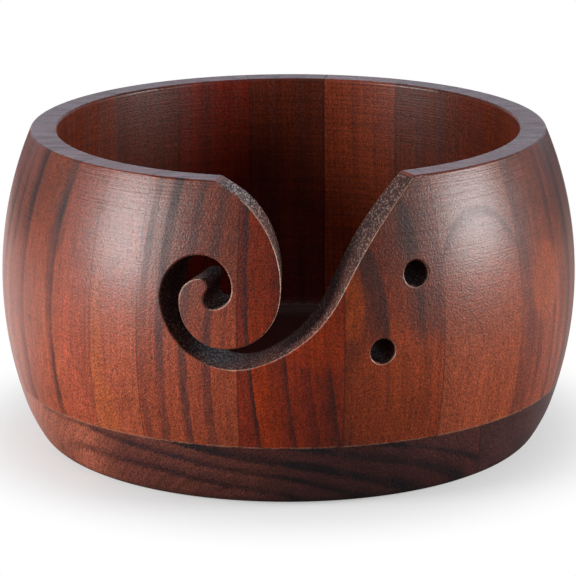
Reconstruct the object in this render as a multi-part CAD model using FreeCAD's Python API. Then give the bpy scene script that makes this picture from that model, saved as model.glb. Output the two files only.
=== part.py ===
"""Wooden yarn bowl: a turned barrel of glued staves on a base of two edge-glued boards.

Units are millimetres. The origin is the centre of the flat foot, with +Z up and the yarn
slot facing -Y. An angle round the bowl is measured from the front (-Y) and grows towards +X.
"""
import FreeCAD, Part
import math
import os

# Outside of the bowl.
HEIGHT = 82.2               # foot to rim
BELLY_RADIUS = 75.0         # widest radius
BELLY_HEIGHT = 42.5         # height of the widest point
SIDE_ARC_RADIUS = 98.9      # barrel curve of the side
HEEL_HEIGHT = 11.9          # where the side curve tightens into the heel
HEEL_ARC_RADIUS = 39.7      # curve of the heel
FOOT_ROUND = 6.0            # round between the heel and the flat foot

# Inside of the bowl.
RIM_WALL = 6.7              # wall thickness at the rim; the bore goes straight down from it
COVE_RADIUS = 6.0           # round between the wall and the floor
RIM_ROUND = 0.8             # eased edges of the flat rim

# Wall of staves.
STAVE_COUNT = 18
FIRST_JOINT_ANGLE = -9.62   # joint at the left of the front stave
BASE_JOINT_HEIGHT = 17.2    # where the wall is glued to the base

# Base of boards.
FLOOR_SINK = 3.2            # floor turned below the wall joint
NARROW_BOARD_REACH = 27.4   # belly's widest place back to the joint with the narrow board
BOARD_JOINT_REACH = BELLY_RADIUS - NARROW_BOARD_REACH   # joint runs front to back

# Yarn slot: a scroll cut towards the bowl's axis. Its outline is laid out on the belly as a
# chain of tangent arcs, each with a radius and a turn in degrees.
EYE_NECK = 1.4              # wood between the eye and the joint of the front stave
EYE_DROP = 25.1             # rim to the widest place of the eye
EYE_ROOF_RADIUS = 7.9
EYE_ROOF_TURN = 84.0
SCROLL_TOP_RADIUS = 10.2
SCROLL_TOP_TURN = 105.0
SCROLL_SIDE_RADIUS = 18.5
SCROLL_SIDE_TURN = 98.0
TROUGH_RADIUS = 36.8
TROUGH_TURN = 45.0
SHOULDER_RADIUS = 76.5
SHOULDER_TURN = 31.0
CHANNEL_WIDTH = 5.6         # channel between the scroll top and the tongue
TONGUE_TOP_RADIUS = 5.3
TONGUE_SIDE_RADIUS = 11.4
TONGUE_SIDE_TURN = 83.0
HOOK_BELLY_RADIUS = 13.7
HOOK_BELLY_TURN = 87.0
HOOK_BACK_RADIUS = 24.2
HOOK_BACK_TURN = 76.0
EYE_FLOOR_RADIUS = 4.8
EYE_SIDE_RADIUS = 2.3
EYE_SIDE_TURN = 120.0
ARRIS_ROUND = 0.4           # eased edges of the slot and the needle holes

# Needle holes, each as its distance round the belly from the front and its drop from the rim.
NEEDLE_HOLE_RADIUS = 3.2
UPPER_HOLE_REACH = 32.4
UPPER_HOLE_DROP = 22.6
LOWER_HOLE_REACH = 23.1
LOWER_HOLE_DROP = 40.7

# Working values.
QUARTER_TURN = 90.0
OVERCUT = 12.0              # how far the cutting shapes run past the wood
ARC_STEP = 9.0              # degrees of arc between points of the slot outline
STAVE_ANGLE = 360.0 / STAVE_COUNT
FLOOR_HEIGHT = BASE_JOINT_HEIGHT - FLOOR_SINK
SIDE_CENTRE_RADIUS = BELLY_RADIUS - SIDE_ARC_RADIUS
RIM_RADIUS = SIDE_CENTRE_RADIUS + math.sqrt(SIDE_ARC_RADIUS ** 2 - (HEIGHT - BELLY_HEIGHT) ** 2)
BORE_RADIUS = RIM_RADIUS - RIM_WALL
AXIS_UP = FreeCAD.Vector(0, 0, 1)
ORIGIN = FreeCAD.Vector(0, 0, 0)


def section_point(radius, height):
    """A point of the half section, which lies in the XZ plane."""
    return FreeCAD.Vector(radius, 0, height)


def section_arc(centre, radius, start, end):
    """An arc of the half section; the angles are below the horizontal, in radians."""
    middle = (start + end) / 2
    points = []
    for angle in (start, middle, end):
        across = centre[0] + radius * math.cos(angle)
        points.append(section_point(across, centre[1] - radius * math.sin(angle)))
    return Part.Arc(*points).toShape()


def rim_edge():
    """The outer eased edge of the rim: its centre and the angle where the side curve meets it."""
    height = HEIGHT - RIM_ROUND
    reach = SIDE_ARC_RADIUS - RIM_ROUND
    angle = -math.asin((height - BELLY_HEIGHT) / reach)
    return (SIDE_CENTRE_RADIUS + reach * math.cos(angle), height), angle


def outside_edges():
    """The outside of the half section, from the foot's edge up to the rim's flat top."""
    side = (SIDE_CENTRE_RADIUS, BELLY_HEIGHT)
    heel_start = math.asin((BELLY_HEIGHT - HEEL_HEIGHT) / SIDE_ARC_RADIUS)
    heel_reach = SIDE_ARC_RADIUS - HEEL_ARC_RADIUS
    heel = (side[0] + heel_reach * math.cos(heel_start), side[1] - heel_reach * math.sin(heel_start))
    foot_reach = HEEL_ARC_RADIUS - FOOT_ROUND
    heel_end = math.asin((heel[1] - FOOT_ROUND) / foot_reach)
    foot = (heel[0] + foot_reach * math.cos(heel_end), FOOT_ROUND)
    rim, rim_angle = rim_edge()
    return [
        section_arc(foot, FOOT_ROUND, math.pi / 2, heel_end),
        section_arc(heel, HEEL_ARC_RADIUS, heel_end, heel_start),
        section_arc(side, SIDE_ARC_RADIUS, heel_start, rim_angle),
        section_arc(rim, RIM_ROUND, rim_angle, -math.pi / 2),
    ]


def inside_edges():
    """The inside of the half section, from the rim's flat top down to the floor's edge."""
    rim = (BORE_RADIUS + RIM_ROUND, HEIGHT - RIM_ROUND)
    cove = (BORE_RADIUS - COVE_RADIUS, FLOOR_HEIGHT + COVE_RADIUS)
    return [
        section_arc(rim, RIM_ROUND, -math.pi / 2, -math.pi),
        Part.makeLine(section_point(BORE_RADIUS, rim[1]), section_point(BORE_RADIUS, cove[1])),
        section_arc(cove, COVE_RADIUS, 0, math.pi / 2),
    ]


def bowl_section():
    """The closed half section of the whole turned bowl."""
    outside = outside_edges()
    inside = inside_edges()
    foot_edge = outside[0].Vertexes[0].Point
    rim_outer = outside[-1].Vertexes[-1].Point
    rim_inner = inside[0].Vertexes[0].Point
    floor_edge = inside[-1].Vertexes[-1].Point
    floor_centre = section_point(0, FLOOR_HEIGHT)
    edges = [Part.makeLine(ORIGIN, foot_edge)]
    edges += outside
    edges.append(Part.makeLine(rim_outer, rim_inner))
    edges += inside
    edges.append(Part.makeLine(floor_edge, floor_centre))
    edges.append(Part.makeLine(floor_centre, ORIGIN))
    return Part.Face(Part.Wire(edges))


def section_band(low, high):
    """The part of the half section between two heights."""
    reach = BELLY_RADIUS + OVERCUT
    corners = [section_point(0, low), section_point(reach, low)]
    corners += [section_point(reach, high), section_point(0, high), section_point(0, low)]
    band = Part.Face(Part.makePolygon(corners))
    return bowl_section().common(band).Faces[0]


def round_position(angle, radius, height):
    """A point at an angle round the bowl, a radius and a height."""
    turn = math.radians(angle)
    return FreeCAD.Vector(radius * math.sin(turn), -radius * math.cos(turn), height)


def joint_angle(number):
    """Angle of the joint before stave NUMBER, where stave 1 is at the front."""
    return FIRST_JOINT_ANGLE + (number - 1) * STAVE_ANGLE


def whole_stave(number):
    """A stave as turned, before the slot and the holes are cut."""
    face = section_band(BASE_JOINT_HEIGHT, HEIGHT + OVERCUT)
    face.rotate(ORIGIN, AXIS_UP, joint_angle(number) - QUARTER_TURN)
    return face.revolve(ORIGIN, AXIS_UP, STAVE_ANGLE)


class Outline:
    """A chain of tangent arcs and lines on the belly, kept as closely spaced points."""

    def __init__(self, start, heading):
        self.points = [start]
        self.heading = heading

    def arc(self, radius, turn):
        """Go on along an arc; a positive turn is to the left."""
        side = math.copysign(1, turn)
        facing = math.radians(self.heading)
        across, level = self.points[-1]
        centre = (across - side * radius * math.sin(facing), level + side * radius * math.cos(facing))
        steps = math.ceil(abs(turn) / ARC_STEP)
        for step in range(1, steps + 1):
            angle = facing + math.radians(turn) * step / steps
            point = (centre[0] + side * radius * math.sin(angle),
                     centre[1] - side * radius * math.cos(angle))
            self.points.append(point)
        self.heading += turn
        return self

    def line(self, length, steps=1):
        """Go straight on."""
        facing = math.radians(self.heading)
        across, level = self.points[-1]
        for step in range(1, steps + 1):
            part = length * step / steps
            self.points.append((across + part * math.cos(facing), level + part * math.sin(facing)))
        return self

    def line_to_height(self, height):
        """Go straight on up to a height."""
        rise = height - self.points[-1][1]
        return self.line(rise / math.sin(math.radians(self.heading)), steps=4)


def eye_start():
    """The eye's widest place, beside the joint of the front stave."""
    joint = BELLY_RADIUS * math.radians(joint_angle(1))
    return (joint - EYE_NECK, HEIGHT - EYE_DROP)


def slot_outer_outline():
    """From the eye round the scroll, through the trough and up the slope past the rim."""
    outline = Outline(eye_start(), QUARTER_TURN)
    outline.arc(EYE_ROOF_RADIUS, EYE_ROOF_TURN)
    outline.arc(SCROLL_TOP_RADIUS, SCROLL_TOP_TURN)
    outline.arc(SCROLL_SIDE_RADIUS, SCROLL_SIDE_TURN)
    outline.arc(TROUGH_RADIUS, TROUGH_TURN)
    outline.arc(SHOULDER_RADIUS, -SHOULDER_TURN)
    return outline.line_to_height(HEIGHT + OVERCUT).points


def tongue_top():
    """The highest place of the tongue, a channel's width under the scroll's top."""
    outline = Outline(eye_start(), QUARTER_TURN)
    outline.arc(EYE_ROOF_RADIUS, EYE_ROOF_TURN)
    outline.arc(SCROLL_TOP_RADIUS, QUARTER_TURN - EYE_ROOF_TURN)
    across, level = outline.points[-1]
    return (across, level - CHANNEL_WIDTH)


def eye_floor_outline():
    """From the eye's widest place down round its floor and up beside the tongue."""
    outline = Outline(eye_start(), -QUARTER_TURN)
    outline.arc(EYE_FLOOR_RADIUS, -QUARTER_TURN)
    return outline.arc(EYE_SIDE_RADIUS, -EYE_SIDE_TURN)


def tongue_tip_outline():
    """The tongue's tip: a short line and one arc that join the eye's side to the tongue's top."""
    side = eye_floor_outline()
    across, level = side.points[-1]
    heading = side.heading % 360.0
    facing = math.radians(heading)
    top = tongue_top()
    arc_left = math.sin(math.pi) - math.sin(facing)
    arc_up = math.cos(facing) - math.cos(math.pi)
    gap_left = top[0] - across
    gap_up = top[1] - level
    spread = math.cos(facing) * arc_up - math.sin(facing) * arc_left
    length = (gap_left * arc_up - gap_up * arc_left) / spread
    radius = (gap_up - length * math.sin(facing)) / arc_up
    outline = Outline((across, level), heading).line(length)
    return outline.arc(radius, 2 * QUARTER_TURN - heading).points


def slot_inner_outline():
    """From the eye round the tongue, under the hook and up its back past the rim."""
    points = eye_floor_outline().points
    points += tongue_tip_outline()[1:]
    hook = Outline(points[-1], 2 * QUARTER_TURN)
    hook.arc(TONGUE_TOP_RADIUS, QUARTER_TURN)
    hook.arc(TONGUE_SIDE_RADIUS, TONGUE_SIDE_TURN)
    hook.arc(HOOK_BELLY_RADIUS, HOOK_BELLY_TURN)
    hook.arc(HOOK_BACK_RADIUS, HOOK_BACK_TURN)
    return points + hook.line_to_height(HEIGHT + OVERCUT).points[1:]


def outline_edge(outline, depth):
    """A smooth edge through an outline's points, on the upright plane that far in front."""
    points = []
    for across, level in outline:
        points.append(FreeCAD.Vector(depth * math.tan(across / BELLY_RADIUS), -depth, level))
    spans = [0.0]
    for before, after in zip(outline, outline[1:]):
        spans.append(spans[-1] + math.dist(before, after))
    curve = Part.BSplineCurve()
    curve.interpolate(Points=points, Parameters=spans)
    return curve.toShape()


def slot_cutter():
    """The slot's space: its outline swept along level lines towards the bowl's axis."""
    outer = slot_outer_outline()
    inner = slot_inner_outline()
    near = BELLY_RADIUS + OVERCUT
    far = BORE_RADIUS / 2
    loops = []
    for depth in (near, far):
        first = outline_edge(outer, depth)
        second = outline_edge(inner, depth)
        top = Part.makeLine(first.Vertexes[-1].Point, second.Vertexes[-1].Point)
        loops.append([first, second, top])
    faces = [Part.makeRuledSurface(front, back) for front, back in zip(*loops)]
    for loop in loops:
        faces.append(Part.Face(Part.Wire(Part.__sortEdges__(loop))))
    shell = Part.Shell(faces)
    shell.sewShape()
    cutter = Part.makeSolid(shell)
    if cutter.Volume < 0:
        cutter.reverse()
    return cutter


def needle_hole(reach, drop):
    """A level hole through the wall towards the bowl's axis."""
    angle = math.degrees(reach / BELLY_RADIUS)
    height = HEIGHT - drop
    start = round_position(angle, BORE_RADIUS / 2, height)
    outward = round_position(angle, 1, 0)
    length = BELLY_RADIUS + OVERCUT - BORE_RADIUS / 2
    return Part.makeCylinder(NEEDLE_HOLE_RADIUS, length, start, outward)


def is_cut_wall(face):
    """Whether a face is a wall of the slot or of a needle hole."""
    surface = face.Surface
    if isinstance(surface, Part.Cylinder):
        return round(abs(surface.Axis.z)) == 0
    return isinstance(surface, Part.BSplineSurface)


def is_joint_face(face):
    """Whether a face is a glued joint: upright or level, but not the rim."""
    if not isinstance(face.Surface, Part.Plane):
        return False
    return face.CenterOfMass.z < HEIGHT - RIM_ROUND


def arris_edges(solid):
    """The edges where a cut wall leaves the wood's outside, inside or rim."""
    edges = []
    for edge in solid.Edges:
        faces = [face for face in solid.Faces if any(edge.isSame(other) for other in face.Edges)]
        walls = [face for face in faces if is_cut_wall(face)]
        joints = [face for face in faces if is_joint_face(face)]
        if len(walls) == 1 and len(faces) == 2 and not joints:
            edges.append(edge)
    return edges


def cut_stave(number, cutters):
    """The solids that are left of a stave once the slot and the holes are cut and eased."""
    wood = whole_stave(number).cut(cutters)
    solids = []
    for solid in wood.Solids:
        edges = arris_edges(solid)
        eased = solid.makeFillet(ARRIS_ROUND, edges) if edges else solid
        solids += eased.Solids
    return sorted(solids, key=lambda solid: solid.CenterOfMass.z)


def base_board(left, right):
    """The part of the turned base that lies between two places along X."""
    base = section_band(0, BASE_JOINT_HEIGHT).revolve(ORIGIN, AXIS_UP, 360.0)
    reach = BELLY_RADIUS + OVERCUT
    corner = FreeCAD.Vector(left, -reach, 0)
    return base.common(Part.makeBox(right - left, 2 * reach, BASE_JOINT_HEIGHT, corner))


def one_shape(solids):
    """A single solid as it is, or several as one group."""
    return solids[0] if len(solids) == 1 else Part.makeCompound(solids)


def stave_name(number):
    """Name of a stave by its place, counted from the front towards +X."""
    places = {2: "_needle_holes", STAVE_COUNT: "_scroll"}
    return "stave_%02d%s" % (number, places.get(number, ""))


def wall_staves():
    """Every piece of the wall by its name."""
    cutters = [
        slot_cutter(),
        needle_hole(UPPER_HOLE_REACH, UPPER_HOLE_DROP),
        needle_hole(LOWER_HOLE_REACH, LOWER_HOLE_DROP),
    ]
    sill, *hook = cut_stave(1, cutters)
    pieces = {"stave_01_hook": one_shape(hook), "stave_01_sill": sill}
    for number in range(2, STAVE_COUNT + 1):
        pieces[stave_name(number)] = one_shape(cut_stave(number, cutters))
    return pieces


def base_boards():
    """The two boards of the base by name."""
    reach = BELLY_RADIUS + OVERCUT
    return {
        "base_board_wide": base_board(-reach, BOARD_JOINT_REACH),
        "base_board_narrow": base_board(BOARD_JOINT_REACH, reach),
    }


def main():
    """Build every piece and write each to its own file."""
    os.makedirs("parts", exist_ok=True)
    pieces = wall_staves()
    pieces.update(base_boards())
    for name, shape in pieces.items():
        shape.exportStep("parts/%s.step" % name)
        solids = len(shape.Solids)
        print("%-22s solids %d valid %s volume %.0f" % (name, solids, shape.isValid(), shape.Volume))


main()
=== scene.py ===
"""Looks of the wooden yarn bowl: a turned barrel of glued, stained and lacquered boards.

Objects are in metres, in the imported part's own frame. Wood is laid out in millimetres. Each board
has growth rings that go right through it, so its outside, rim, inside and cut walls agree. An angle
round the bowl is measured from the front (-Y) and grows towards +X.
"""
import logging
import math
import random
from dataclasses import dataclass, field, replace
from enum import Enum

import bmesh
import bpy
from mathutils import Matrix, Vector


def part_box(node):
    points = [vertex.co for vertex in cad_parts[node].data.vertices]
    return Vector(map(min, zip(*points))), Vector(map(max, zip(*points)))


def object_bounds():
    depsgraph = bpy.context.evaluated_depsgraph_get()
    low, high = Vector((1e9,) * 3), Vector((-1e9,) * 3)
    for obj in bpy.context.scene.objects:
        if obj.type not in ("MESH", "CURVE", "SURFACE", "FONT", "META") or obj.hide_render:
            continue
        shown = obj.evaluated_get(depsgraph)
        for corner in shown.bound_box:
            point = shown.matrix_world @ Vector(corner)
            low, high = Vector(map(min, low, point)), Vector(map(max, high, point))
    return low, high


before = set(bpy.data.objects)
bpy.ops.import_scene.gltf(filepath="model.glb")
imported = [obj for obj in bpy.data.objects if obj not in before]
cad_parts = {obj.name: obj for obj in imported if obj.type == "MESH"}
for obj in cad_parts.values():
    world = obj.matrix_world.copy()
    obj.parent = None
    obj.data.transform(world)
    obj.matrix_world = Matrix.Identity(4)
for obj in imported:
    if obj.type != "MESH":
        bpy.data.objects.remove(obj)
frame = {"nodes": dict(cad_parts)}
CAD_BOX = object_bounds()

LOG = logging.getLogger("yarn_bowl")
MM = 1000.0                     # millimetres in a metre

# The bowl as turned, in millimetres, read from the frame.
BELLY_RADIUS = (CAD_BOX[1][0] - CAD_BOX[0][0]) / 2 * MM
HEIGHT = CAD_BOX[1][2] * MM
BASE_JOINT_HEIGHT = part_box("stave_03")[0].z * MM
STAVE_COUNT = 18
STAVE_ANGLE = 360.0 / STAVE_COUNT
FIRST_JOINT_ANGLE = -9.62       # joint at the left of the front stave
BELLY_HEIGHT = 42.5             # height of the widest place
RIM_EASE = 0.8                  # height of the rim's eased edges
BOARD_JOINT_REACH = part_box("base_board_wide")[1].x * MM

Colour = tuple[float, float, float, float]
Stop = tuple[float, float, float]
SocketValue = float | Colour | Vector | bpy.types.NodeSocket


def linear(code: str) -> Colour:
    """Turn an sRGB hex colour into linear values.

    Args:
        code: Six hex digits, red first.

    Returns:
        Linear red, green, blue and an alpha of one.
    """
    channels = []
    for start in (0, 2, 4):
        share = int(code[start:start + 2], 16) / 255
        channels.append(share / 12.92 if share <= 0.04045 else ((share + 0.055) / 1.055) ** 2.4)
    return (*channels, 1.0)


def add(
    tree: bpy.types.NodeTree,
    kind: str,
    inputs: dict[str | int, SocketValue] | None = None,
    **settings: object,
) -> bpy.types.Node:
    """Add a node with its settings, and set or link its inputs.

    Args:
        tree: Node tree that takes the node.
        kind: Blender's name for the node's type.
        inputs: Values or output sockets by input name or place.
        settings: Properties of the node itself.

    Returns:
        The new node.
    """
    node = tree.nodes.new(kind)
    for name, value in settings.items():
        setattr(node, name, value)
    for key, value in (inputs or {}).items():
        if isinstance(value, bpy.types.NodeSocket):
            tree.links.new(value, node.inputs[key])
        else:
            node.inputs[key].default_value = value
    return node


@dataclass(frozen=True)
class Stain:
    """Colours of stained wood, as sRGB hex: soft early wood, its warm zones, and late wood."""

    early: str
    warm: str
    late: str


class Tone(Enum):
    """How the stain came out on a board."""

    ROSE = Stain("ae4f36", "bb5d35", "412224")
    COPPER = Stain("ab4a2c", "b0502a", "3c2223")
    RUST = Stain("a44c32", "ae5028", "3a1c1c")
    EMBER = Stain("8c2b14", "a03408", "361813")
    OLIVE = Stain("963a1c", "a44418", "341c18")
    UMBER = Stain("7a3826", "90421e", "321c19")
    CHESTNUT = Stain("74301c", "86401f", "301814")
    BARK = Stain("5c2e29", "b06048", "22161a")
    PLUM = Stain("4c2c2a", "5c342c", "2e1c1e")


@dataclass(frozen=True)
class Heart:
    """Where the heart of the tree lay, seen from the board's middle, in millimetres.

    across and depth are along the board's width and into it. The leans are how far the fibres
    shift across and in over a millimetre of the board's length.
    """

    across: float
    depth: float
    lean_across: float = 0.0
    lean_depth: float = 0.0

    @property
    def reach(self) -> float:
        """Distance from the heart to the board's middle."""
        return math.hypot(self.across, self.depth)


@dataclass(frozen=True)
class Joint:
    """A glued joint as a plane: its normal, its distance from the origin and how dark it shows."""

    normal: Vector
    offset: float = 0.0
    shade: float = 0.5


@dataclass(frozen=True)
class Patch:
    """An oval part of a board whose wood is darker or warmer than its rings say.

    across and along are its middle from the board's middle, in millimetres, and the halves are
    half of its size each way. dark and warm are added to the wood's own, from -1 to 1.
    """

    across: float
    along: float
    half_width: float
    half_length: float
    dark: float = 0.0
    warm: float = 0.0


@dataclass(frozen=True)
class Board:
    """One board's wood.

    rings holds its growth rings as stops: the distance in millimetres from the ring through the
    board's middle, away from the heart, then how dark and how warm the wood is there, 0 to 1.
    """

    tone: Tone
    heart: Heart
    rings: tuple[Stop, ...]
    seed: int = 0
    patches: tuple[Patch, ...] = ()
    wave: float = 2.5
    streak_width: float = 0.9
    wear_and_highlight_left: float = 0.5          # how pale the arrises that face left and right are drawn: partly wear, partly a painted highlight from the soft box on that side
    wear_and_highlight_right: float = 0.5
    axes: Matrix = field(default_factory=lambda: Matrix.Identity(3))
    middle: Vector = field(default_factory=Vector)
    joints: tuple[Joint, ...] = ()


@dataclass(frozen=True)
class Lacquer:
    """Satin lacquer sprayed over stained wood: a soft, even sheen that lets the pores show."""

    roughness: float = 0.40
    specular: float = 0.5
    coat: float = 0.35
    coat_roughness: float = 0.28
    ior: float = 1.5


@dataclass
class StainedWood:
    """Material of one board: turned softwood, stained red-brown and lacquered satin.

    To the eye it is red-brown wood with dark late-wood lines that run with the fibres, fine pores
    that look like dark specks, faint rings left by the turning tool, and rough cut walls. Light is
    painted into its colour too: arrises drawn as a lighter line, partly wear and partly a painted
    highlight, tiny painted glints, a painted reflection on the rim top, and cut-wall specks that are
    painted brighter where the walls face the lights.
    """

    name: str
    board: Board
    lacquer: Lacquer = field(default_factory=Lacquer)
    ring_span: float = 24.0         # ring distances that the colour ramp covers, each way
    cuts: bool = True
    tree: bpy.types.NodeTree = field(init=False)

    def build(self) -> bpy.types.Material:
        """Make the material.

        Returns:
            The finished material.
        """
        material = bpy.data.materials.new(self.name)
        material.use_nodes = True
        self.tree = material.node_tree
        self.tree.nodes.clear()
        self.place()
        self.grow()
        self.grain()
        self.faces()
        self.seams()
        colour = self.colour()
        rough = self.roughness()
        normal = self.relief()
        shader = add(self.tree, "ShaderNodeBsdfPrincipled", {
            "Base Color": colour,
            "Roughness": rough,
            "Normal": normal,
            "IOR": self.lacquer.ior,
            "Specular IOR Level": self.lacquer.specular,
            "Coat Weight": self.coat(),
            "Coat Roughness": self.lacquer.coat_roughness,
        })
        add(self.tree, "ShaderNodeOutputMaterial", {"Surface": shader.outputs["BSDF"]})
        return material

    def math(self, operation: str, *values: SocketValue) -> bpy.types.NodeSocket:
        """Result of one Math node."""
        return add(self.tree, "ShaderNodeMath", dict(enumerate(values)), operation=operation).outputs[0]

    def vector(self, operation: str, *values: SocketValue) -> bpy.types.Node:
        """One Vector Math node."""
        inputs = dict(enumerate(values))
        return add(self.tree, "ShaderNodeVectorMath", inputs, operation=operation)

    def fade(
        self,
        value: bpy.types.NodeSocket,
        start: float,
        end: float,
        low: float = 0.0,
        high: float = 1.0,
    ) -> bpy.types.NodeSocket:
        """Turn a value from start to end smoothly into one from low to high."""
        inputs = {"Value": value, "From Min": start, "From Max": end, "To Min": low, "To Max": high}
        return add(self.tree, "ShaderNodeMapRange", inputs, interpolation_type="SMOOTHSTEP").outputs[0]

    def noise(
        self,
        source: bpy.types.NodeSocket,
        grain: tuple[float, float, float],
        detail: float = 2.0,
        output: str | int = 0,
    ) -> bpy.types.NodeSocket:
        """Noise whose lumps have the given size in millimetres across, in depth and along."""
        density = Vector([1 / size for size in grain])
        shift = Vector((self.board.seed * 7.3, self.board.seed * 3.1, self.board.seed * 5.7))
        spot = self.vector("MULTIPLY_ADD", source, density, shift).outputs[0]
        inputs = {"Vector": spot, "Scale": 1.0, "Detail": detail, "Roughness": 0.55}
        return add(self.tree, "ShaderNodeTexNoise", inputs).outputs[output]

    def blend(
        self,
        share: SocketValue,
        first: SocketValue,
        second: SocketValue,
        mode: str = "MIX",
    ) -> bpy.types.NodeSocket:
        """Mix two colours."""
        inputs = {0: share, 6: first, 7: second}
        return add(self.tree, "ShaderNodeMix", inputs, data_type="RGBA", blend_type=mode).outputs[2]

    def place(self) -> None:
        """Lay millimetres out on the board: across, into it and along its fibres."""
        board = self.board
        spot = add(self.tree, "ShaderNodeTexCoord")
        self.normal = spot.outputs["Normal"]
        self.here = self.vector("MULTIPLY", spot.outputs["Object"], Vector((MM, MM, MM))).outputs[0]
        self.local = add(self.tree, "ShaderNodeMapping", {
            "Vector": self.here,
            "Rotation": Vector(board.axes.to_euler("XYZ")),
            "Location": -(board.axes @ board.middle),
        }).outputs[0]
        along = add(self.tree, "ShaderNodeSeparateXYZ", {0: self.local}).outputs[2]
        lean = Vector((-board.heart.lean_across, -board.heart.lean_depth, 0))
        self.fibre = self.vector("MULTIPLY_ADD", along, lean, self.local).outputs[0]
        self.level = add(self.tree, "ShaderNodeSeparateXYZ", {0: self.here}).outputs[2]

    def grow(self) -> None:
        """Growth rings round the heart, a little wavy, with feathered edges."""
        board = self.board
        wave = self.noise(self.fibre, (26.0, 26.0, 70.0), 1.0, "Color")
        wave = self.vector("SUBTRACT", wave, Vector((0.5, 0.5, 0.5))).outputs[0]
        bent = self.vector("MULTIPLY_ADD", wave, Vector((board.wave, board.wave, 0)), self.fibre).outputs[0]
        heart = Vector((board.heart.across, board.heart.depth, 0))
        arm = self.vector("SUBTRACT", bent, heart).outputs[0]
        arm = self.vector("MULTIPLY", arm, Vector((1, 1, 0))).outputs[0]
        reach = self.vector("LENGTH", arm).outputs["Value"]
        feather = self.noise(self.fibre, (0.4, 0.4, 5.0), 3.0)
        feather = self.fade(feather, 0.2, 0.8, -0.35, 0.35)
        ring = self.math("ADD", self.math("SUBTRACT", reach, board.heart.reach), feather)
        spread = {"Value": ring, "From Min": -self.ring_span, "From Max": self.ring_span}
        share = add(self.tree, "ShaderNodeMapRange", spread).outputs[0]
        ramp = add(self.tree, "ShaderNodeValToRGB", {0: share})
        stops = ramp.color_ramp.elements
        first, *between, last = board.rings
        stops[0].color = (*first[1:], 0.0, 1.0)
        stops[1].color = (*last[1:], 0.0, 1.0)
        for distance, dark, warm in between:
            stop = stops.new((distance / self.ring_span + 1) / 2)
            stop.color = (dark, warm, 0.0, 1.0)
        parts = add(self.tree, "ShaderNodeSeparateColor", {0: ramp.outputs[0]})
        fleck = self.fade(self.noise(self.fibre, (8.0, 8.0, 30.0), 3.0), 0.3, 0.65, 0.45, 1.0)
        self.dark = self.math("MULTIPLY", parts.outputs[0], fleck)
        self.warm = parts.outputs[1]
        for patch in board.patches:
            mask = self.oval(bent, patch)
            self.dark = self.math("MULTIPLY_ADD", mask, patch.dark, self.dark)
            self.warm = self.math("MULTIPLY_ADD", mask, patch.warm, self.warm)
        self.dark = add(self.tree, "ShaderNodeClamp", {0: self.dark}).outputs[0]
        self.warm = add(self.tree, "ShaderNodeClamp", {0: self.warm}).outputs[0]

    def oval(self, place: bpy.types.NodeSocket, patch: Patch) -> bpy.types.NodeSocket:
        """One inside a patch and zero outside, with a soft edge."""
        step = Vector((1 / patch.half_width, 0, 1 / patch.half_length))
        start = Vector((-patch.across / patch.half_width, 0, -patch.along / patch.half_length))
        away = self.vector("MULTIPLY_ADD", place, step, start).outputs[0]
        return self.fade(self.vector("LENGTH", away).outputs["Value"], 1.3, 0.6)

    def grain(self) -> None:
        """Fibre streaks, pores, fine speckle and painted glints. Real pores are finer: these are just wide enough to
        show.
        """
        self.streak = self.noise(self.fibre, (self.board.streak_width, 0.9, 40.0), 3.0)
        self.pore = self.fade(self.noise(self.fibre, (0.35, 0.35, 1.0), 1.0), 0.60, 0.72)
        self.speckle = self.noise(self.fibre, (0.34, 0.34, 0.45), 2.0)
        # Painted highlight: tiny bright specks that stand in for the lights glinting on the lacquered pores.
        self.painted_glint = self.fade(self.noise(self.fibre, (0.30, 0.30, 0.36), 1.0), 0.60, 0.72)
        self.cloud = self.noise(self.fibre, (12.0, 12.0, 30.0), 2.0)
        self.turning = self.noise(self.here, (24.0, 24.0, 0.40), 1.0)
        self.sanding = self.noise(self.here, (9.0, 0.5, 9.0), 2.0)

    def faces(self) -> None:
        """Tell the outside, the inside and the cut walls apart by the way they face."""
        outward = self.vector("MULTIPLY", self.here, Vector((1, 1, 0))).outputs[0]
        outward = self.vector("NORMALIZE", outward).outputs[0]
        facing = self.vector("DOT_PRODUCT", outward, self.normal).outputs["Value"]
        size = self.math("ABSOLUTE", facing)
        self.inside = self.fade(facing, -0.4, -0.8)
        parts = add(self.tree, "ShaderNodeSeparateXYZ", {0: self.normal})
        flat = self.fade(parts.outputs[2], 0.90, 0.98)
        self.top = self.math("MULTIPLY", flat, self.fade(self.level, HEIGHT - RIM_EASE, HEIGHT))
        board = self.board
        # Painted highlight on the arrises: how pale they are drawn depends on whether they face left or right,
        # towards one soft box or the other.
        self.wear_and_highlight_side = self.fade(parts.outputs[0], -0.15, 0.15, board.wear_and_highlight_left, board.wear_and_highlight_right)
        # Painted light on the cut walls: their pale specks are made stronger where the walls face right and up,
        # towards the right soft box and the pale room.
        pale = self.fade(parts.outputs[0], -0.2, 0.6, 0.55, 0.95)
        self.painted_facing_light = self.math("MULTIPLY", pale, self.fade(parts.outputs[2], 0.30, 0.70, 0.50, 1.0))
        near_yarn = self.fade(add(self.tree, "ShaderNodeSeparateXYZ", {0: self.here}).outputs[0], -4.0, 8.0, 1.0, 0.1)
        trough = self.math("ADD", self.fade(self.level, 44.0, 50.0, 1.0, 0.0), self.fade(self.level, 64.0, 70.0))
        polish = self.math("MULTIPLY", self.fade(parts.outputs[2], 0.5, 0.95), near_yarn)
        self.polish = self.math("MULTIPLY", polish, trough)
        below_rim = self.fade(self.level, HEIGHT - RIM_EASE, HEIGHT - RIM_EASE / 2, 1.0, 0.0)
        self.cut = self.math("MULTIPLY", self.fade(size, 0.25, 0.5, 1.0, 0.0), below_rim)
        edge = self.math("MULTIPLY", self.fade(size, 0.1, 0.35), self.fade(size, 0.7, 0.88, 1.0, 0.0))
        self.arris = self.math("MULTIPLY", edge, below_rim)
        self.fuzz = self.noise(self.here, (0.48, 1.4, 0.48), 2.0)

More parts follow.
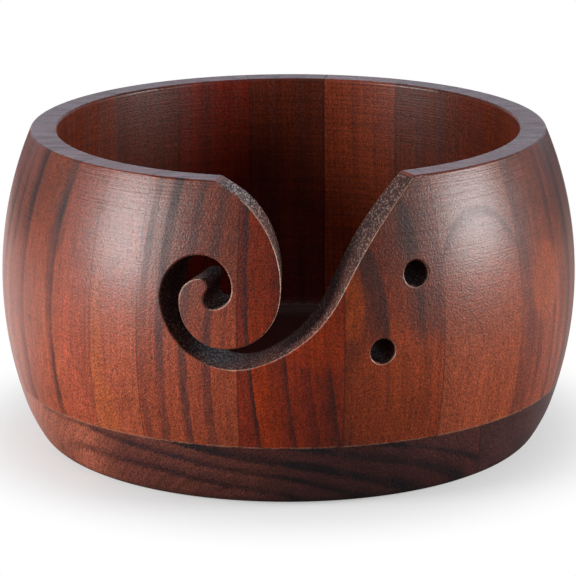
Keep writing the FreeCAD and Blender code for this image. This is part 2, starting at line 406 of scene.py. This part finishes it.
    def seams(self) -> None:
        """Thin dark glue lines where the board meets its neighbours, and a pale line at the foot joint that is partly
        wear and partly a painted highlight.
        """
        self.seam: SocketValue = 0.0
        for joint in self.board.joints:
            distance = self.vector("DOT_PRODUCT", self.here, joint.normal).outputs["Value"]
            distance = self.math("ABSOLUTE", self.math("SUBTRACT", distance, joint.offset))
            line = self.fade(distance, 0.08, 0.30, joint.shade, 0.0)
            self.seam = self.math("MAXIMUM", self.seam, line)
        # Painted highlight along the foot joint: a broken pale line where the arris there would catch the soft boxes,
        # partly also wear.
        foot_wear_and_highlight = self.math("ABSOLUTE", self.math("SUBTRACT", self.level, BASE_JOINT_HEIGHT))
        dash = self.fade(self.noise(self.here, (1.6, 1.6, 9.0), 2.0), 0.35, 0.6)
        self.foot_wear_and_highlight = self.math("MULTIPLY", self.fade(foot_wear_and_highlight, 0.10, 0.32, 1.0, 0.0), dash)

    def colour(self) -> bpy.types.NodeSocket:
        """Colour of the stained wood.

        Returns:
            The socket with the colour.
        """
        stain = self.board.tone.value
        wood = self.blend(self.warm, linear(stain.early), linear(stain.warm))
        band = self.math("MULTIPLY", self.dark, self.fade(self.inside, 0.0, 1.0, 1.0, 0.40))
        wood = self.blend(band, wood, linear(stain.late))
        light = self.math("MULTIPLY", self.fade(self.streak, 0.3, 0.7, 0.80, 1.18),
                          self.fade(self.speckle, 0.34, 0.66, 0.66, 1.36))
        # Painted glints lighten the colour where the lacquer would sparkle.
        light = self.math("MULTIPLY_ADD", self.painted_glint, 0.55, light)
        if self.cuts:
            light = self.math("MULTIPLY", light, self.fade(self.level, 30.0, 76.0, 1.0, 0.52))
        light = self.math("MULTIPLY", light, self.fade(self.cloud, 0.3, 0.7, 0.86, 1.12))
        marks = self.fade(self.inside, 0.0, 1.0, 0.05, 0.16)
        marks = self.math("MULTIPLY", self.fade(self.turning, 0.35, 0.65, -1.0, 1.0), marks)
        light = self.math("MULTIPLY", light, self.math("ADD", marks, 1.0))
        scored = self.math("MULTIPLY", self.fade(self.sanding, 0.35, 0.65, -0.25, 0.25), self.top)
        light = self.math("MULTIPLY", light, self.math("ADD", scored, 1.0))
        wood = add(self.tree, "ShaderNodeVectorMath", {0: wood, 3: light}, operation="SCALE").outputs[0]
        upper = self.math("MULTIPLY", self.inside, self.fade(self.level, 25.0, 70.0, 0.3, 1.0))
        wood = self.blend(upper, wood, linear("ffdaa4"), "MULTIPLY")
        # Painted reflection: the flat rim top is blended towards lavender grey in place of the pale room that its
        # satin would mirror. Sanding streaks break it up.
        painted_rim_sheen = self.math("MULTIPLY", self.top, self.fade(self.sanding, 0.35, 0.65, 0.40, 0.86))
        wood = self.blend(painted_rim_sheen, wood, linear("b8abb4"))
        wood = self.blend(self.math("MULTIPLY", self.pore, 0.55), wood, linear("2c1512"))
        wood = self.blend(self.seam, wood, linear("2a1210"))
        # Pale line at the foot joint: partly wear, partly a painted highlight of its arris.
        wood = self.blend(self.math("MULTIPLY", self.foot_wear_and_highlight, 0.5), wood, linear("b98468"))
        if self.cuts:
            wood = self.blend(self.math("MULTIPLY", self.cut, 0.76), wood, linear("281815"))
            # Pale raised-fibre specks on the cut walls. The fibres are real, but how bright they are by facing is
            # painted light.
            fuzz = self.math("MULTIPLY", self.fade(self.fuzz, 0.50, 0.64), self.cut)
            wood = self.blend(self.math("MULTIPLY", fuzz, self.painted_facing_light), wood, linear("a88c7e"))
            # Arrises drawn as a pale line: partly wear, partly a painted highlight, set per board for those facing
            # left and right.
            worn_arris_highlight = self.math("MULTIPLY", self.arris, self.fade(self.speckle, 0.3, 0.6, 0.55, 1.0))
            chips = self.fade(self.noise(self.here, (1.4, 1.4, 1.4)), 0.42, 0.58, 0.45, 1.0)
            worn_arris_highlight = self.math("MULTIPLY", worn_arris_highlight, self.math("MULTIPLY", self.wear_and_highlight_side, chips))
            wood = self.blend(worn_arris_highlight, wood, linear("e0b49c"))
        return wood

    def roughness(self) -> bpy.types.NodeSocket:
        """Roughness of the lacquer, which is dry over pores and cut walls.

        Returns:
            The socket with the roughness.
        """
        base = self.lacquer.roughness
        rough = self.fade(self.speckle, 0.3, 0.7, base - 0.06, base + 0.08)
        rough = self.math("ADD", rough, self.math("MULTIPLY", self.pore, 0.15))
        rough = self.math("ADD", rough, self.math("MULTIPLY", self.dark, 0.12))
        rough = self.math("ADD", rough, self.math("MULTIPLY", self.inside, -0.02))
        rough = self.math("ADD", rough, self.math("MULTIPLY", self.top, 0.15))
        if self.cuts:
            rough = self.math("ADD", rough, self.math("MULTIPLY", self.cut, 0.35))
        return rough

    def coat(self) -> bpy.types.NodeSocket:
        """Weight of the lacquer film: thinner on late wood, and none on the cut walls.

        Returns:
            The socket with the weight.
        """
        film = self.fade(self.dark, 0.0, 1.0, self.lacquer.coat, self.lacquer.coat * 0.4)
        bare = self.math("MAXIMUM", self.cut, self.math("MULTIPLY", self.inside, 0.8))
        film = self.math("MULTIPLY", film, self.fade(bare, 0.0, 1.0, 1.0, 0.0))
        film = self.math("MULTIPLY", film, self.fade(self.top, 0.0, 1.0, 1.0, 0.25))
        rubbed = self.math("MULTIPLY", self.polish, self.fade(self.fuzz, 0.38, 0.60, 0.2, 0.75))
        return self.math("MULTIPLY_ADD", self.cut, rubbed, film)

    def relief(self) -> bpy.types.NodeSocket:
        """Fine relief of pores, turning marks and saw marks, in hundredths of a millimetre.

        Returns:
            The socket with the bent normal.
        """
        pebble = self.noise(self.fibre, (0.55, 0.55, 0.62), 2.0)
        height = self.math("MULTIPLY", pebble, 11.5)
        height = self.math("SUBTRACT", height, self.math("MULTIPLY", self.pore, 1.2))
        marks = self.fade(self.level, 50.0, 74.0, 1.5, 13.0)
        height = self.math("MULTIPLY_ADD", self.turning, marks, height)
        height = self.math("MULTIPLY", height, self.fade(self.inside, 0.0, 1.0, 1.0, 0.3))
        if self.cuts:
            height = self.math("MULTIPLY_ADD", self.math("MULTIPLY", self.fuzz, self.cut), 14.0, height)
        bump = add(self.tree, "ShaderNodeBump", {"Height": height, "Distance": 0.01 / MM, "Strength": 1.0})
        return bump.outputs[0]


def growth_lines(*lines: tuple[float, float, float, float], warm: float = 0.2) -> tuple[Stop, ...]:
    """Stops of late-wood lines, each soft on the heart's side and sharp on the other.

    Args:
        lines: Distance, soft width, sharp width and darkness of each line, from the heart outwards.
        warm: How warm the wood between the lines is.

    Returns:
        The stops, in order.
    """
    stops: list[Stop] = [(-24.0, 0.1, warm)]
    for distance, soft, sharp, dark in lines:
        stops.append((distance - soft, 0.05, warm))
        stops.append((distance, dark, warm * 0.6))
        stops.append((distance + sharp, 0.02, warm))
    stops.append((24.0, 0.1, warm))
    return tuple(stops)


def ordinary_board(number: int) -> Board:
    """A board with growth lines of its own, drawn from its number.

    Args:
        number: Seed of the draw.

    Returns:
        The board, not yet placed.
    """
    draw = random.Random(number)
    lines = []
    place = -20.0 + draw.uniform(0, 4)
    while place < 20.0 and len(lines) < 7:
        step = draw.uniform(4.0, 8.5)
        lines.append((place, min(step * 0.6, 3.0), 0.7, draw.uniform(0.35, 0.9)))
        place += step
    side = draw.choice((-1, 1))
    heart = Heart(side * draw.uniform(40, 90), draw.uniform(-30, 40), draw.uniform(-0.05, 0.05))
    tones = (Tone.RUST, Tone.OLIVE, Tone.UMBER, Tone.EMBER)
    return Board(draw.choice(tones), heart, growth_lines(*lines, warm=draw.uniform(0.1, 0.5)), number)


# How dark the joint on the higher-numbered side of a stave shows.
SEAM_SHADE = 0.5
SEAM_SHADES: dict[int, float] = {3: 0.1, 4: 0.2, 9: 0.9, 15: 0.2, 16: 0.0}

# Wood of the boards that the photograph shows, outside or inside. Hook and sill share the first.
SEEN_STAVES: dict[int, Board] = {
    1: Board(Tone.EMBER, Heart(-85, 28, -0.06), (
        (-24, 0.1, 0.3), (-12.2, 0.15, 0.1), (-10.6, 0.25, 0.0), (-9.8, 0.95, 0.0), (-9.3, 0.8, 0.2),
        (-9.0, 0.0, 1.0), (-5, 0.05, 0.9), (-2.6, 0.25, 0.3), (-0.9, 0.8, 0.1), (-0.4, 0.05, 0.6),
        (1.6, 0.15, 0.3), (3.2, 0.45, 0.1), (4.1, 0.75, 0.1), (4.5, 0.1, 0.5), (6.4, 0.3, 0.2),
        (8.6, 0.8, 0.1), (9.1, 0.2, 0.5), (24, 0.2, 0.3)), 1,
        (Patch(7.5, 5, 7, 10, -0.7, 0.8), Patch(8, -22, 6, 10, 0.08)), wear_and_highlight_left=0.5, wear_and_highlight_right=1.0),
    2: Board(Tone.OLIVE, Heart(-9.7, -2, 0, -0.1), (
        (-8, 0.35, 0.2), (-5.5, 0.5, 0.2), (-1.6, 0.85, 0.0), (-0.8, 0.1, 0.3), (3.0, 0.1, 0.4),
        (7.6, 0.6, 0.1), (8.4, 0.2, 0.4), (12.7, 0.4, 0.2), (13.6, 0.1, 0.4), (24, 0.2, 0.3)), 2,
        (Patch(-10.5, 11, 3, 9, -0.7, 0.9), Patch(2, -12, 16, 15, -0.55, 0.2), Patch(7, 8, 6, 7, 0.15),
         Patch(4.5, 28, 3.5, 8, 0.22), Patch(1, 24, 5, 9, 0.15)),
        wear_and_highlight_left=0.7, wear_and_highlight_right=0.3),
    3: Board(Tone.RUST, Heart(0, -6.3, 0, -0.3), (
        (-6, 0.1, 0.3), (4, 0.05, 0.5), (11.0, 0.1, 0.4), (12.2, 0.15, 0.1), (13.6, 0.6, 0.0),
        (14.2, 0.1, 0.3), (24, 0.1, 0.3)), 3),
    4: Board(Tone.RUST, Heart(-75, 20, 0.02), (
        (-13, 0.2, 0.3), (-10.5, 0.55, 0.1), (-6.5, 0.6, 0.1), (-5.5, 0.2, 0.4), (-3.4, 0.5, 0.1),
        (-1.8, 0.15, 0.4), (2.0, 0.2, 0.3), (4.6, 0.65, 0.1), (5.8, 0.15, 0.4), (9.5, 0.5, 0.1),
        (12, 0.3, 0.3), (24, 0.2, 0.3)), 4,
        (Patch(-1, 8, 7, 9, -0.6, 0.7), Patch(-5, -14, 6, 12, 0.15), Patch(6, 30, 9, 14, 0.25))),
    5: Board(Tone.UMBER, Heart(-75, 20, 0.02), growth_lines(
        (-9.0, 4.0, 1.5, 0.5), (1.0, 4.0, 1.5, 0.5), (8.0, 3.0, 1.0, 0.5), warm=0.3), 5,
        (Patch(-8, 32, 12, 20, 0.35),)),
    7: Board(Tone.CHESTNUT, Heart(-60, 20, 0.02), growth_lines(
        (-11.0, 3.0, 1.0, 0.7), (-2.0, 4.0, 0.8, 0.6), (9.5, 4.0, 0.8, 1.0), warm=0.3), 7),
    8: Board(Tone.CHESTNUT, Heart(70, 10, -0.01), growth_lines(
        (-10.6, 0.6, 0.5, 0.9), (-3.0, 3.0, 0.8, 0.6), (5.0, 4.0, 0.8, 0.7), warm=0.35), 8),
    9: Board(Tone.RUST, Heart(-6, 60, 0.03), growth_lines(
        (-0.4, 0.6, 0.4, 0.4), (1.2, 0.8, 0.5, 0.6), warm=0.5), 9),
    10: Board(Tone.CHESTNUT, Heart(60, -10, 0.02), growth_lines(
        (-9.0, 2.0, 0.6, 0.8), (-3.5, 3.0, 0.6, 0.7), (2.0, 3.0, 0.7, 0.9), (9.0, 3.0, 0.7, 0.7),
        warm=0.2), 10),
    11: Board(Tone.EMBER, Heart(-80, 15, 0.0), growth_lines(
        (-8.0, 3.0, 0.8, 0.6), (1.0, 4.0, 0.8, 0.9), (7.5, 3.0, 0.7, 0.6), warm=0.3), 11),
    12: Board(Tone.CHESTNUT, Heart(-55, 30, 0.04), growth_lines(
        (-10.0, 2.0, 0.8, 0.7), (-4.0, 3.0, 0.7, 0.5), (5.0, 5.0, 0.8, 0.8), warm=0.2), 12),
    13: Board(Tone.UMBER, Heart(65, 20, -0.03), growth_lines(
        (-7.0, 3.0, 0.8, 0.8), (0.5, 3.0, 0.8, 0.5), (8.0, 4.0, 0.8, 0.8), warm=0.4), 13),
    15: Board(Tone.RUST, Heart(-80, 24, 0.0), growth_lines(
        (-6.0, 4.0, 1.5, 0.5), (4.0, 4.0, 1.5, 0.5), (11.0, 3.0, 1.0, 0.5), warm=0.3), 15,
        (Patch(8, 34, 14, 20, 0.35),)),
    16: Board(Tone.RUST, Heart(-85, 24, 0.0), growth_lines(
        (-5.6, 5.0, 1.0, 0.8), (1.0, 2.0, 0.8, 0.1), (9.0, 4.0, 0.9, 0.95), warm=0.3), 16,
        (Patch(-9, 32, 10, 16, 0.3), Patch(5, -14, 4, 22, -0.35), Patch(8, 30, 5, 17, 0.2))),
    17: Board(Tone.ROSE, Heart(-85, 10, 0.02), (
        (-24, 0.1, 0.1), (-6, 0.1, 0.1), (-2.6, 0.1, 0.1), (-2.1, 0.6, 0.2), (-1.7, 0.0, 0.5),
        (3, 0.1, 0.3), (7, 0.1, 0.3), (13, 0.1, 0.4), (24, 0.1, 0.4)), 17,
        (Patch(2.0, -25, 3.8, 12, -0.1, 0.9), Patch(0.4, -8, 1.8, 13, -0.2, 0.8),
         Patch(0.2, 8, 0.8, 11, -0.2, 0.8), Patch(4, 32, 14, 22, 0.05, -0.6))),
    18: Board(Tone.COPPER, Heart(-77, 25, 0.01), (
        (-24, 0.2, 0.2), (-12.4, 0.1, 0.3), (-12.0, 0.5, 0.1), (-10.4, 0.5, 0.1), (-10.0, 0.1, 0.3),
        (-7.8, 0.15, 0.2), (-7.3, 0.7, 0.0), (-5.4, 0.75, 0.1), (-5.0, 0.1, 0.4), (-1.6, 0.15, 0.2),
        (-1.0, 0.65, 0.0), (0.5, 0.7, 0.1), (0.9, 0.1, 0.3), (4.0, 0.15, 0.2), (4.5, 0.6, 0.0),
        (6.1, 0.65, 0.1), (6.5, 0.1, 0.3), (9.0, 0.1, 0.3), (9.4, 0.4, 0.1), (10.1, 0.1, 0.3),
        (24, 0.2, 0.2)), 18,
        (Patch(0, 0, 14, 45, 0.08), Patch(-2, 28, 14, 16, 0.12)), wave=1.6, wear_and_highlight_left=0.9, wear_and_highlight_right=0.1),
}


@dataclass
class StaveWall:
    """The barrel of staves, glued edge to edge."""

    count: int = STAVE_COUNT
    first_joint: float = FIRST_JOINT_ANGLE

    def middle_angle(self, number: int) -> float:
        """Angle of a stave's middle, in radians."""
        return math.radians(self.first_joint + (number - 0.5) * STAVE_ANGLE)

    def placed(self, number: int) -> Board:
        """A stave's board, with its axes, its middle and its joints.

        Args:
            number: Stave number, 1 at the front.

        Returns:
            The placed board.
        """
        wood = SEEN_STAVES.get(number) or ordinary_board(number)
        turn = self.middle_angle(number)
        across = Vector((math.cos(turn), math.sin(turn), 0))
        inward = Vector((-math.sin(turn), math.cos(turn), 0))
        middle = -inward * BELLY_RADIUS + Vector((0, 0, BELLY_HEIGHT))
        joints = []
        for side, seam in ((-0.5, number - 1 or STAVE_COUNT), (0.5, number)):
            edge = turn + math.radians(side * STAVE_ANGLE)
            normal = Vector((math.cos(edge), math.sin(edge), 0))
            joints.append(Joint(normal, 0.0, SEAM_SHADES.get(seam, SEAM_SHADE)))
        axes = Matrix((across, inward, Vector((0, 0, 1))))
        return replace(wood, axes=axes, middle=middle, joints=tuple(joints))

    def dress(self, nodes: dict[str, bpy.types.Object]) -> None:
        """Give every stave its wood."""
        for name, node in sorted(nodes.items()):
            if not name.startswith("stave_"):
                continue
            number = int(name.split("_")[1])
            board = self.placed(number)
            dress(node, StainedWood("stained_lacquered_wood_" + name, board).build())
            LOG.info("%s: %s wood, heart %.0f mm away", name, board.tone.name.lower(), board.heart.reach)


# Wood of the base. Its boards run front to back, so its front shows the ends of their layers.
BASE_BOARDS: dict[str, Board] = {
    "base_board_wide": Board(Tone.BARK, Heart(-10.5, 77.6, 0, -1.0), (
        (-24, 0.2, 0.1), (-12.4, 0.2, 0.1), (-11.5, 0.9, 0.0), (-10.9, 0.1, 0.1), (-5.9, 0.2, 0.1),
        (-5.0, 1.0, 0.0), (-4.5, 0.1, 0.1), (-3.3, 0.2, 0.0), (-2.4, 1.0, 0.0), (-1.7, 0.9, 0.1),
        (-1.3, 0.1, 0.1), (0.3, 0.2, 0.0), (1.1, 1.0, 0.0), (1.9, 1.0, 0.0), (2.3, 0.1, 0.2),
        (3.4, 0.2, 0.1), (4.2, 1.0, 0.0), (4.7, 0.1, 0.2), (6.1, 0.2, 0.1), (6.7, 0.9, 0.0),
        (7.1, 0.1, 0.2), (10.2, 0.1, 0.2), (11.2, 0.9, 0.0), (11.7, 0.1, 0.2), (24, 0.2, 0.2)), 41,
        (Patch(66, 30, 22, 50, -0.15, 1.0), Patch(-22, 10, 26, 60, 0.25, -0.2)),
        wave=1.4, streak_width=7.0),
    "base_board_narrow": Board(Tone.PLUM, Heart(-60, 30, 0, 0.1), growth_lines(
        (-8.0, 5.0, 2.0, 0.3), (1.0, 5.0, 2.0, 0.3), (9.0, 4.0, 2.0, 0.3), warm=0.2), 42),
}


@dataclass
class BoardBase:
    """The base of two edge-glued boards under the wall, which run front to back."""

    joint_reach: float = BOARD_JOINT_REACH
    # Where each board's wood is laid out from: place on X, Y and Z.
    middles: dict[str, Vector] = field(default_factory=lambda: {
        "base_board_wide": Vector((0, -65, BASE_JOINT_HEIGHT / 2)),
        "base_board_narrow": Vector((60, 0, BASE_JOINT_HEIGHT / 2)),
    })

    def placed(self, name: str) -> Board:
        """A base board with its axes, its middle and its joint.

        Args:
            name: Name of the board's node.

        Returns:
            The placed board.
        """
        axes = Matrix(((-1, 0, 0), (0, 0, 1), (0, 1, 0)))
        joint = Joint(Vector((1, 0, 0)), self.joint_reach)
        return replace(BASE_BOARDS[name], axes=axes, middle=self.middles[name], joints=(joint,))

    def dress(self, nodes: dict[str, bpy.types.Object]) -> None:
        """Give every base board its wood."""
        for name in BASE_BOARDS:
            board = self.placed(name)
            dress(nodes[name], StainedWood("stained_lacquered_wood_" + name, board, cuts=False).build())
            LOG.info("%s: %s wood", name, board.tone.name.lower())


def dress(node: bpy.types.Object, material: bpy.types.Material) -> None:
    """Put one material on a whole piece."""
    for place in node.material_slots:
        place.material = material


@dataclass
class Studio:
    """Plain pale floor, a white backdrop behind the bowl, and two soft boxes at its sides."""

    floor_reach: float = 3.0
    boxes: tuple[tuple[str, float, float, float, float, float], ...] = (
        # name, azimuth from the front, elevation, width, height, brightness
        ("left_soft_box", -65.5, 12.8, 0.38, 0.42, 16.3),
        ("right_soft_box", 79.0, 12.5, 0.38, 0.34, 16.9),
    )
    box_distance: float = 0.9
    aim: Vector = field(default_factory=lambda: Vector((0, 0, 0.05)))

    def build(self) -> None:
        """Make the floor, the lights and the world."""
        self.make_floor()
        for box in self.boxes:
            self.make_box(*box)
        self.make_world()
        LOG.info("studio: floor and %d soft boxes", len(self.boxes))

    def make_floor(self) -> None:
        """A matt floor, pale to the camera, that keeps the bowl's soft shadow."""
        mesh = bpy.data.meshes.new("floor")
        shape = bmesh.new()
        bmesh.ops.create_circle(shape, cap_ends=True, segments=96, radius=self.floor_reach)
        shape.to_mesh(mesh)
        shape.free()
        floor = bpy.data.objects.new("floor", mesh)
        bpy.context.scene.collection.objects.link(floor)
        material = bpy.data.materials.new("matt_paper_sweep")
        material.use_nodes = True
        tree = material.node_tree
        tree.nodes.clear()
        path = add(tree, "ShaderNodeLightPath")
        paper = add(tree, "ShaderNodeMix", {
            0: path.outputs["Is Camera Ray"], 6: linear("6a6765"), 7: linear("f7f6f5"),
        }, data_type="RGBA")
        matt = add(tree, "ShaderNodeBsdfDiffuse", {"Color": paper.outputs[2]})
        spot = add(tree, "ShaderNodeTexCoord")
        parts = add(tree, "ShaderNodeSeparateXYZ", {0: spot.outputs["Object"]})
        behind = add(tree, "ShaderNodeMapRange", {
            "Value": parts.outputs[1], "From Min": -0.04, "From Max": 0.05,
        }, interpolation_type="SMOOTHSTEP")
        mirrored = add(tree, "ShaderNodeMath", {
            0: path.outputs["Is Glossy Ray"], 1: path.outputs["Is Transmission Ray"],
        }, operation="MAXIMUM")
        glow = add(tree, "ShaderNodeMath", {
            0: behind.outputs[0], 1: mirrored.outputs[0],
        }, operation="MULTIPLY")
        far = add(tree, "ShaderNodeVectorMath", {0: spot.outputs["Object"]}, operation="LENGTH")
        fade = add(tree, "ShaderNodeMapRange", {
            "Value": far.outputs["Value"], "From Min": 0.062, "From Max": 0.098, "To Min": 0.45,
        }, interpolation_type="SMOOTHSTEP")
        share = add(tree, "ShaderNodeMath", {
            0: fade.outputs[0], 1: path.outputs["Is Camera Ray"],
        }, operation="MULTIPLY")
        near = add(tree, "ShaderNodeMapRange", {
            "Value": far.outputs["Value"], "From Min": 0.60, "From Max": 0.30,
        }, interpolation_type="SMOOTHSTEP")
        right = add(tree, "ShaderNodeMapRange", {
            "Value": parts.outputs[0], "From Min": -0.05, "From Max": 0.05, "To Min": 1.0, "To Max": 0.40,
        }, interpolation_type="SMOOTHSTEP")
        near = add(tree, "ShaderNodeMath", {0: near.outputs[0], 1: right.outputs[0]}, operation="MULTIPLY")
        glow = add(tree, "ShaderNodeMath", {0: glow.outputs[0], 1: near.outputs[0]}, operation="MULTIPLY")
        share = add(tree, "ShaderNodeMath", {
            0: share.outputs[0], 1: glow.outputs[0],
        }, operation="MAXIMUM")
        white = add(tree, "ShaderNodeEmission", {"Strength": 1.0})
        both = add(tree, "ShaderNodeMixShader", {
            0: share.outputs[0], 1: matt.outputs[0], 2: white.outputs[0],
        })
        add(tree, "ShaderNodeOutputMaterial", {"Surface": both.outputs[0]})
        mesh.materials.append(material)

    def make_box(
        self, name: str, azimuth: float, elevation: float, width: float, height: float, glow: float,
    ) -> None:
        """A soft box that faces the bowl; glow is its brightness, where 1 is white."""
        lamp = bpy.data.lights.new(name, "AREA")
        lamp.shape = "RECTANGLE"
        lamp.size = width
        lamp.size_y = height
        lamp.energy = glow * math.pi * width * height
        turn = math.radians(azimuth)
        rise = math.radians(elevation)
        away = Vector((math.sin(turn) * math.cos(rise), -math.cos(turn) * math.cos(rise), math.sin(rise)))
        box = bpy.data.objects.new(name, lamp)
        box.matrix_world = Matrix.Translation(self.aim + away * self.box_distance) @ (
            away.to_track_quat("Z", "Y").to_matrix().to_4x4())
        bpy.context.scene.collection.objects.link(box)

    def make_world(self) -> None:
        """White behind the bowl, for the camera everywhere, and dim in front and above."""
        world = bpy.data.worlds.new("studio")
        bpy.context.scene.world = world
        world.use_nodes = True
        tree = world.node_tree
        tree.nodes.clear()
        spot = add(tree, "ShaderNodeTexCoord")
        parts = add(tree, "ShaderNodeSeparateXYZ", {0: spot.outputs["Generated"]})
        behind = add(tree, "ShaderNodeMapRange", {
            "Value": parts.outputs[1], "From Min": 0.6, "From Max": 0.85,
        }, interpolation_type="SMOOTHSTEP")
        low = add(tree, "ShaderNodeMapRange", {
            "Value": parts.outputs[2], "From Min": 0.52, "From Max": 0.36,
        }, interpolation_type="SMOOTHSTEP")
        backdrop = add(tree, "ShaderNodeMath", {0: behind.outputs[0], 1: low.outputs[0]},
                       operation="MULTIPLY")
        above = add(tree, "ShaderNodeMapRange", {
            "Value": parts.outputs[2], "From Min": 0.25, "From Max": 0.7, "To Min": 0.05, "To Max": 0.16,
        }, interpolation_type="SMOOTHSTEP")
        room = add(tree, "ShaderNodeMapRange", {
            "Value": backdrop.outputs[0], "To Min": above.outputs[0], "To Max": 0.95})
        path = add(tree, "ShaderNodeLightPath")
        glow = add(tree, "ShaderNodeMath", {0: room.outputs[0], 1: path.outputs["Is Camera Ray"]},
                   operation="MAXIMUM")
        tint = add(tree, "ShaderNodeMix", {
            0: path.outputs["Is Camera Ray"], 6: linear("ecf0ff"), 7: linear("ffffff"),
        }, data_type="RGBA")
        sky = add(tree, "ShaderNodeBackground", {"Color": tint.outputs[2], "Strength": glow.outputs[0]})
        add(tree, "ShaderNodeOutputWorld", {"Surface": sky.outputs[0]})


@dataclass
class PhotoCamera:
    """The camera at the photograph's viewing angle, fitted to the bowl's outlines."""

    place: Vector = field(default_factory=lambda: Vector((0, -0.7691, 0.2478)))
    pitch: float = 15.26            # degrees below the horizon
    roll: float = -0.189            # degrees
    focal_pixels: float = 3023.8
    frame_pixels: float = 576.0
    axis_offset_pixels: float = 0.65
    sensor: float = 36.0

    def build(self) -> None:
        """Make the camera and make it the scene's own."""
        lens = bpy.data.cameras.new("photo_camera")
        lens.sensor_width = self.sensor
        lens.lens = self.focal_pixels / self.frame_pixels * self.sensor
        lens.shift_x = -self.axis_offset_pixels / self.frame_pixels
        camera = bpy.data.objects.new("photo_camera", lens)
        tilt = Matrix.Rotation(math.radians(90 - self.pitch), 4, "X")
        turn = Matrix.Rotation(math.radians(self.roll), 4, "Z")
        camera.matrix_world = Matrix.Translation(self.place) @ tilt @ turn
        bpy.context.scene.collection.objects.link(camera)
        bpy.context.scene.camera = camera
        LOG.info("camera: %.0f mm lens", lens.lens)


def main() -> None:
    """Build the camera and the studio, and dress every piece of the bowl."""
    logging.basicConfig(level=logging.INFO, format="%(name)s: %(message)s")
    bpy.context.scene.view_settings.view_transform = "Standard"
    PhotoCamera().build()
    Studio().build()
    StaveWall().dress(frame["nodes"])
    BoardBase().dress(frame["nodes"])


if __name__ == "__main__":
    main()
